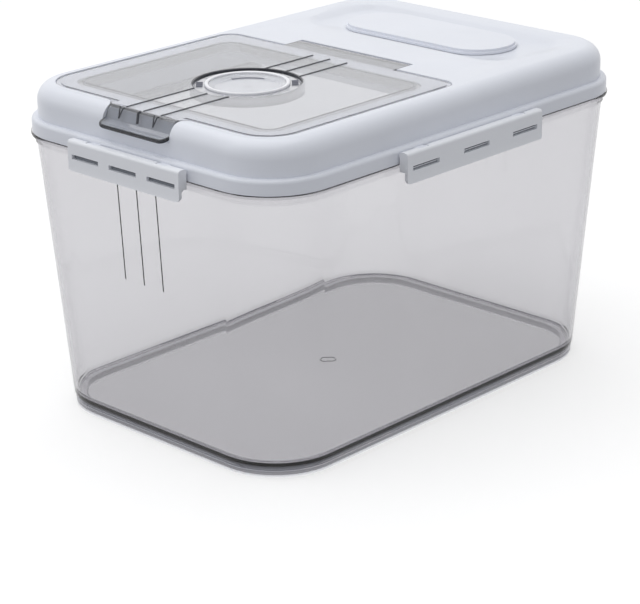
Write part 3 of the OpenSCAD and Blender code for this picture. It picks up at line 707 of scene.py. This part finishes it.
# Lid, cassette cap and clips, in mm
LID_EASE = 0.5
CAP_EASE = 0.28
CAP_STRETCH = 0.965
CLIP_EASE = 0.6
CLIP_CORNER = 2.2


def moulded(node, width, segments=2, stretch=1.0, lower=0.0):
    """Copy of a CAD node with its hard edges rounded over, as a moulding has them."""
    bm = cad_copy(node)
    if lower:
        round_lower_corners(bm, lower)
    ease_edges(bm, width, segments)
    bmesh.ops.scale(bm, vec=(stretch, 1.0, 1.0), verts=bm.verts)
    piece(node + "_moulded", bm, LOOK[node], node)


# Each clip's turn about the bin's axis, and its plate's distance from that axis and pitch of windows
CLIPS = {
    "front": (0.0, 174.5, 33.5),
    "rear": (180.0, 174.5, 33.5),
    "right": (90.0, 124.0, 47.0),
    "left": (270.0, 124.0, 47.0),
}
LONG_CLIPS = ("right", "left")
# Sizes of the boxes of painted shade behind the windows, then of the ridges in them
WINDOW_HALF = 12.6
WINDOW_DEPTHS = (-0.45, 0.05)
WINDOW_Z = (180.55, 184.5)
RIDGE_HALF = 11.9
RIDGE_DEPTHS = (0.04, 0.75)
RIDGE_Z = (182.0, 182.45)


def block(bm, turn, xs, depths, zs):
    """Box in a clip's own directions: along the plate, out from the bin's axis, and up."""
    spin = Matrix.Rotation(math.radians(turn), 3, "Z")
    v = ring_of(bm, [spin @ Vector((x, -d, z)) for x in xs for d in depths for z in zs])
    for q in ((0, 1, 3, 2), (4, 6, 7, 5), (0, 4, 5, 1), (2, 3, 7, 6), (0, 2, 6, 4), (1, 5, 7, 3)):
        bm.faces.new([v[i] for i in q])


def window_boxes(side, name, mat, half, depths, zs):
    """One box in each of a clip's three windows, at depths from its plate's inner face."""
    turn, inner, pitch = CLIPS[side]
    bm = bmesh.new()
    for x in (-pitch, 0.0, pitch):
        block(bm, turn, (x - half, x + half), [inner + d for d in depths], zs)
    detail(side + name, bm, mat, side + "_clip", SLOT[side + "_clip"])


def window_painted_shade_backs(side):
    """Painted shade: dark boxes behind a clip's three windows, where the slot is in shade, with a thin ridge
    of clip plastic in each on the long clips.
    """
    window_boxes(side, "_window_painted_shade_backs", M_WINDOW_SHADE, WINDOW_HALF, WINDOW_DEPTHS, WINDOW_Z)
    if side in LONG_CLIPS:
        window_boxes(side, "_window_lines", M_CLIP, RIDGE_HALF, RIDGE_DEPTHS, RIDGE_Z)


# Flap, its tab and its ribs, which are drawn dark as painted shade: mm, and degrees for the sharpest angle
# that still looks smooth
FLAP_TOP = 215.1
FLAP_EASE = 0.25
FLAP_SHARP = 40.0
FLAP_CUT = -156.9
# Where the tab's painted shade begins, then the hinge strip that gets painted shade
TAB_SHADE_CUT = -158.2
HINGE_Y = 12.6
HINGE_HALF = 48.6
LINE_X = (-15.0, 0.0, 15.0)
LINE_ENDS = (-157.4, 3.7)
LINE_GAP_R = 34.6
LINE_W = 1.15
LINE_H = 0.62
STRIP_STEPS = 6
SINK = 0.03
TAB_LINE = ((-157.0, 214.0), (-158.6, 214.0), (-161.9, 206.9), (-169.4, 204.05))
TAB_BENDS = (1.9, 3.4)
TAB_HALF = 29.0
TAB_LEAST_HALF = 24.4
TAB_CORNER = 5.0
TAB_HALF_T = 1.1
TAB_EASE = 0.35
TAB_EASE_SHARE = 0.6
TAB_TAIL = (4.6, 3.6, 2.6, 1.8, 1.1, 0.5, 0.15, 0.0)
BEND_STEPS = 8
LIP_SWELL = 0.42
LIP_LENGTH = 3.4
LIP_Y = -169.5
LIP_Z = 204.0
LIP_SLOPE = 0.37
LIP_START = (7.4, 2.8)
LIP_UP = (0.0, -0.356, 0.934)
LIP_HALF_T = 1.3
LIP_OVAL = 0.7
LIP_LEAST = 0.35
LIP_GROWTH = 0.33
LIP_CORNER_STEPS = 6
LIP_STEPS = 12
NOSE = 1.5
NOSE_LEAST = 0.12
DIAL = (0.0, -71.0)

# Hooks on the tab: their sizes are width and height, and their points (across from their line, share of the
# way down the tab)
HOOK_UP = (0.0, -0.75, 0.66)
HOOK_LIFT = 0.02
HOOK_SIZE = (1.0, 0.45)
MIDDLE_HOOK_SIZE = (1.9, 0.8)
HOOKS = (((-4.6, 0.0), (-3.6, 0.35), (-2.3, 0.62)), ((-2.3, 0.62), (-1.1, 0.35), (0.0, 0.0)))
MIDDLE_HOOK = ((-1.0, 0.0), (-2.6, 0.3), (-2.2, 0.55), (-0.6, 0.8))


def strip(bm, points, width, height, up=(0, 0, 1)):
    """Half-round line along points in mm, laid on a surface whose normal is up."""
    up = Vector(up).normalized()
    turns = [math.pi * k / STRIP_STEPS for k in range(STRIP_STEPS + 1)]
    rings = []
    for i, p in enumerate(points):
        ahead = Vector(points[min(len(points) - 1, i + 1)]) - Vector(points[max(0, i - 1)])
        side = ahead.normalized().cross(up).normalized()
        arch = [side * (width / 2 * math.cos(t)) + up * (height * math.sin(t) - SINK) for t in turns]
        rings.append(ring_of(bm, [Vector(p) + q for q in arch]))
    skin(bm, rings)


def bend_points(before, at, after, radius):
    """Arc of the given radius where the line before-at-after turns."""
    u = (at - before).normalized()
    v = (after - at).normalized()
    turn = u.angle(v)
    start = at - u * (radius * math.tan(turn / 2))
    n = Vector((-u.y, u.x))
    n = n if n.dot(v) > 0 else -n
    steps = [turn * k / BEND_STEPS for k in range(BEND_STEPS + 1)]
    return [start + n * radius + (-n * math.cos(t) + u * math.sin(t)) * radius for t in steps]


def tab_curve():
    """Middle line of the tab past the cut: place as (y, z), direction, half thickness and half width."""
    line = [Vector(q) for q in TAB_LINE]
    points = [line[0]]
    for i, radius in enumerate(TAB_BENDS, 1):
        points += bend_points(line[i - 1], line[i], line[i + 1], radius)
    tip = line[-1]
    back = (line[-2] - tip).normalized()
    points += [tip + back * d for d in TAB_TAIL]
    curve = []
    for i, q in enumerate(points):
        ahead = (points[min(i + 1, len(points) - 1)] - points[max(i - 1, 0)]).normalized()
        end = (q - tip).length
        half = TAB_HALF_T + LIP_SWELL * max(0.0, 1 - end / LIP_LENGTH)
        if end < NOSE:
            half *= max(NOSE_LEAST, math.sqrt(max(0.0, 1 - (1 - end / NOSE) ** 2)))
        wide = TAB_HALF
        if end < TAB_CORNER:
            wide -= TAB_CORNER - math.sqrt(max(0.0, TAB_CORNER ** 2 - (TAB_CORNER - end) ** 2))
        curve.append((q, ahead, half, max(wide, TAB_LEAST_HALF)))
    return curve


def upward(ahead):
    """Normal of the tab, on its upper side, from its direction as (y, z)."""
    n = Vector((0.0, -ahead.y, ahead.x))
    return n if n.z > 0 else -n


def tab_section(half, wide):
    """The tab's outline seen from its end, as (across, up): the top with its corners cut, and its mirror."""
    c = min(TAB_EASE, half * TAB_EASE_SHARE)
    flat = [(x, half) for x in (c - wide, *LINE_X, wide - c)]
    top = [(-wide, half - c)] + flat + [(wide, half - c)]
    return [(-wide, c - half)] + top + [(x, -h) for x, h in top[:0:-1]]


def build_flap():
    """The CAD's flap with eased edges and a smoothly bent tab, where tab and hinge strip have a darker tint
    as painted shade.
    """
    bm = cad_copy("flap")
    ease_edges(bm, FLAP_EASE, 2)
    bmesh.ops.bisect_plane(bm, geom=bm.verts[:] + bm.edges[:] + bm.faces[:], dist=0.0000001,
                           plane_co=(0, FLAP_CUT * MM, 0), plane_no=(0, -1, 0), clear_outer=True)
    cut = [e for e in bm.edges if len(e.link_faces) == 1]
    rings = []
    for q, ahead, half, wide in tab_curve():
        n = upward(ahead)
        rings.append(ring_of(bm, [Vector((x, q.x, q.y)) + n * h for x, h in tab_section(half, wide)]))
    count = len(rings[0])
    first = [bm.edges.new((rings[0][k], rings[0][(k + 1) % count])) for k in range(count)]
    bmesh.ops.bridge_loops(bm, edges=cut + first)
    skin(bm, rings, caps=False)
    bm.faces.new(rings[-1])
    flap = piece("flap_moulded", bm, M_FLAP, "flap", FLAP_SHARP)
    flap.data.materials.append(M_TAB_SHADE)
    flap.data.materials.append(M_HINGE_SHADE)
    verts = flap.data.vertices
    for f in flap.data.polygons:
        if f.center.y < TAB_SHADE_CUT * MM:
            f.material_index = 1
        elif min(verts[v].co.y for v in f.vertices) > HINGE_Y * MM and abs(f.center.x) < HINGE_HALF * MM:
            f.material_index = 2


def flap_lines():
    """Three ribs along the flap, broken by the dial, and their hooks on the tab, dark as painted shade of
    clear ribs.
    """
    bm = bmesh.new()
    curve = tab_curve()
    for x in LINE_X:
        reach = math.sqrt(LINE_GAP_R ** 2 - x * x)
        for y0, y1 in ((LINE_ENDS[0], DIAL[1] - reach), (DIAL[1] + reach, LINE_ENDS[1])):
            strip(bm, [(x, y0, FLAP_TOP), (x, (y0 + y1) / 2, FLAP_TOP), (x, y1, FLAP_TOP)], LINE_W, LINE_H)

    def on(x, t):
        """Point on the tab's upper face, t = 0 at the top bend and 1 at the lip's bend."""
        q, ahead, half, _ = curve[BEND_STEPS // 2 + round(t * (BEND_STEPS + 1))]
        return Vector((x, q.x, q.y)) + upward(ahead) * (half + HOOK_LIFT)

    for x in (LINE_X[0], LINE_X[2]):
        for hook in HOOKS:
            strip(bm, [on(x + across, t) for across, t in hook], *HOOK_SIZE, HOOK_UP)
    strip(bm, [on(across, t) for across, t in MIDDLE_HOOK], *MIDDLE_HOOK_SIZE, HOOK_UP)
    detail("flap_lines", bm, M_PAINTED_SHADE, "flap", SLOT["flap"])


def lip_painted_shade():
    """Painted shade: dark front edge of the tab's lip, standing in for the dark look of its thick clear edge,
    with its rounded corners, thinner towards both ends.
    """
    r = TAB_CORNER
    points = [(-TAB_HALF, LIP_Y + LIP_START[0], LIP_Z + LIP_START[1])]
    for i in range(LIP_CORNER_STEPS + 1):
        t = math.radians(90.0 * i / LIP_CORNER_STEPS)
        back = r * (1 - math.sin(t))
        points.append((r * (1 - math.cos(t)) - TAB_HALF, LIP_Y + back, LIP_Z + back * LIP_SLOPE))
    points += [(-x, y, z) for x, y, z in points[::-1]]
    last = len(points) - 1
    turns = [2 * math.pi * k / LIP_STEPS for k in range(LIP_STEPS)]
    bm = bmesh.new()
    rings = []
    for i, p in enumerate(points):
        ahead = (Vector(points[min(last, i + 1)]) - Vector(points[max(0, i - 1)])).normalized()
        side = ahead.cross(Vector(LIP_UP)).normalized()
        up = side.cross(ahead).normalized()
        size = LIP_HALF_T * min(1.0, LIP_LEAST + LIP_GROWTH * min(i, last - i))
        oval = [side * (LIP_OVAL * math.cos(t)) + up * math.sin(t) for t in turns]
        rings.append(ring_of(bm, [Vector(p) + q * size for q in oval]))
    skin(bm, rings)
    detail("tab_lip_painted_shade", bm, M_LIP_SHADE, "flap", SLOT["flap"])


# Dial, in mm and degrees: outlines are (radius, height) round its axis
RING_TOP = 213.9
RING_OUTLINE = ((23.1, 209.5), (33.6, 209.5), (33.8, 209.7), (33.8, 212.9), (33.5, 213.3), (32.5, 213.8),
                (32.0, RING_TOP), (27.3, RING_TOP), (26.95, 213.7), (26.9, 213.0), (23.1, 212.9))
PLATE_TOP = 212.6
DISC_OUTLINE = ((0.0, 205.3), (3.0, 205.3), (3.0, 211.6), (22.5, 211.6), (22.7, 211.8), (22.7, 213.2),
                (26.4, 213.2), (26.6, 213.4), (26.6, 214.4), (24.35, 214.4), (21.2, 213.1), (20.6, 212.75),
                (19.6, PLATE_TOP), (0.0, PLATE_TOP))
# Rim of the disc, drawn in white as a painted highlight
BRIGHT_OUTLINE = ((24.4, 214.45), (26.6, 214.45), (26.6, 215.2), (26.3, 215.55), (25.6, 215.6),
                  (24.8, 215.5), (24.4, 215.2))
GRIP_TURNS = (45.0, 225.0)
GRIP_PITCH = 4.2
GRIP_RADII = (27.6, 29.0, 30.5, 31.8)
GRIP_SIZE = (1.5, 1.1)
GRIP_LIFT = 0.02
# Painted shade: dark arc on the flap behind the dial ring, where the well's inner wall is in shade
RING_SHADE_START = 36.0
RING_SHADE_SWEEP = 200.0
RING_SHADE_STEPS = 48
RING_SHADE_R = 33.85
RING_SHADE_TOP = 215.16
RING_SHADE_UNDER = 214.95
RING_SHADE_LEAST = 0.15
RING_SHADE_SWELL = 2.2
RING_SHADE_POWER = 0.7
RING_SHADE_FLARE = 0.7
RING_SHADE_LOW_W = 0.25
RING_SHADE_TOP_W = 0.3
# Painted shadow: grey arc on the disc at the foot of the dish's back wall
DISC_SHADOW_R = 19.8
DISC_SHADOW_START = 104.0
DISC_SHADOW_SWEEP = 60.0
DISC_SHADOW_STEPS = 16
DISC_SHADOW_SIZE = (2.0, 0.5)
DISC_SHADOW_LIFT = 0.06
NUMBER_COUNT = 12
NUMBER_R = 29.4
NUMBER_SIZE = 3.1
NUMBER_THICK = 0.06
NUMBER_START = -46.0
NUMBER_LIFT = 0.03


def about_dial(r, a, z):
    """Point at radius r, turn a and height z about the dial's axis."""
    return (DIAL[0] + r * math.cos(a), DIAL[1] + r * math.sin(a), z)


def lathe(bm, outline, steps=128):
    """Closed ring of revolution round the dial's axis."""
    rings = []
    for i in range(steps):
        a = 2 * math.pi * i / steps
        rings.append(ring_of(bm, [about_dial(r, a, z) for r, z in outline]))
    skin(bm, rings + rings[:1], caps=False)


def dial_ring():
    """Clear outer ring with a sloping shoulder, and three grip strips on each lug."""
    bm = bmesh.new()
    lathe(bm, RING_OUTLINE)
    piece("dial_ring_body", bm, M_RING, "dial_ring")
    grips = bmesh.new()
    for turn in GRIP_TURNS:
        spin = Matrix.Rotation(math.radians(turn), 3, "Z")
        for across in (-GRIP_PITCH, 0.0, GRIP_PITCH):
            line = [Vector((r, across, RING_TOP + GRIP_LIFT)) for r in GRIP_RADII]
            strip(grips, [spin @ q + Vector((*DIAL, 0)) for q in line], *GRIP_SIZE)
    detail("dial_grips", grips, M_PRINT_AND_SHADE, "dial_ring", SLOT["dial_ring"])


def painted_shade_arc():
    """Painted shade: dark arc on the flap at the back of the ring, where the well's inner wall is in shade,
    tapering to both ends.
    """
    bm = bmesh.new()
    rings = []
    for i in range(RING_SHADE_STEPS + 1):
        t = i / RING_SHADE_STEPS
        a = math.radians(RING_SHADE_START + RING_SHADE_SWEEP * t)
        deep = RING_SHADE_LEAST + RING_SHADE_SWELL * math.sin(math.pi * t) ** RING_SHADE_POWER
        low = RING_SHADE_UNDER - deep
        wide = RING_SHADE_R + RING_SHADE_TOP_W + RING_SHADE_FLARE * deep
        section = ((RING_SHADE_R, low), (RING_SHADE_R + RING_SHADE_LOW_W, low), (wide, RING_SHADE_TOP), (RING_SHADE_R, RING_SHADE_TOP))
        rings.append(ring_of(bm, [about_dial(r, a, z) for r, z in section]))
    skin(bm, rings)
    detail("dial_painted_shade_arc", bm, M_PAINTED_SHADE, "flap", SLOT["flap"])


def dial_disc():
    """Dished inner disc with its rim in white as a painted highlight, and a grey arc as painted shadow at the
    foot of the dish's back wall.
    """
    bm = bmesh.new()
    lathe(bm, DISC_OUTLINE)
    bmesh.ops.remove_doubles(bm, verts=bm.verts, dist=WELD * MM)
    bmesh.ops.dissolve_degenerate(bm, edges=bm.edges, dist=WELD * MM / 2)
    piece("dial_disc_body", bm, M_DISC, "dial_disc")
    bright = bmesh.new()
    lathe(bright, BRIGHT_OUTLINE)
    detail("dial_rim", bright, M_RIM_HIGHLIGHT, "dial_disc", SLOT["dial_disc"])
    # Painted shadow at the foot of the dish's back wall, as a grey arc
    arc_shadow = bmesh.new()
    turns = [math.radians(DISC_SHADOW_START + DISC_SHADOW_SWEEP * i / DISC_SHADOW_STEPS) for i in range(DISC_SHADOW_STEPS + 1)]
    strip(arc_shadow, [about_dial(DISC_SHADOW_R, a, PLATE_TOP + DISC_SHADOW_LIFT) for a in turns], *DISC_SHADOW_SIZE)
    detail("dial_painted_shadow_arc", arc_shadow, M_PRINT_AND_SHADE, "dial_disc", SLOT["dial_disc"])


def number_mesh(text):
    """Flat plain number, as a mesh round the origin."""
    curve = bpy.data.curves.new("number", "FONT")
    curve.body = text
    curve.size = NUMBER_SIZE * MM
    curve.extrude = NUMBER_THICK * MM
    curve.align_x = "CENTER"
    curve.align_y = "CENTER"
    o = bpy.data.objects.new("number", curve)
    scene.collection.objects.link(o)
    bpy.context.view_layer.update()
    me = bpy.data.meshes.new_from_object(o)
    bpy.data.objects.remove(o)
    bpy.data.curves.remove(curve)
    return me


def dial_numbers():
    """Generic plain numbers from 1 to 12 round the ring."""
    bm = bmesh.new()
    for k in range(NUMBER_COUNT):
        me = number_mesh(str(k + 1))
        a = math.radians(NUMBER_START - 360.0 * k / NUMBER_COUNT)
        at = Vector(about_dial(NUMBER_R, a, RING_TOP + NUMBER_LIFT))
        me.transform(Matrix.Translation(at * MM) @ Matrix.Rotation(a + math.pi / 2, 4, "Z"))
        bm.from_mesh(me)
        bpy.data.meshes.remove(me)
    bmesh.ops.remove_doubles(bm, verts=bm.verts, dist=WELD * MM)
    detail("dial_numbers", bm, M_PRINT_AND_SHADE, "dial_ring", SLOT["dial_ring"])


scene.view_settings.view_transform = "Standard"
place_camera()
studio()
for node, look in LOOK.items():
    dress(node, look)
build_tub()
build_flap()
flap_lines()
lip_painted_shade()
dial_ring()
painted_shade_arc()
dial_disc()
dial_numbers()
for side in SIDES:
    moulded(side + "_clip", CLIP_EASE, segments=3, lower=CLIP_CORNER)
moulded("lid", LID_EASE)
moulded("cassette_cap", CAP_EASE, stretch=CAP_STRETCH)
for side in CLIPS:
    window_painted_shade_backs(side)
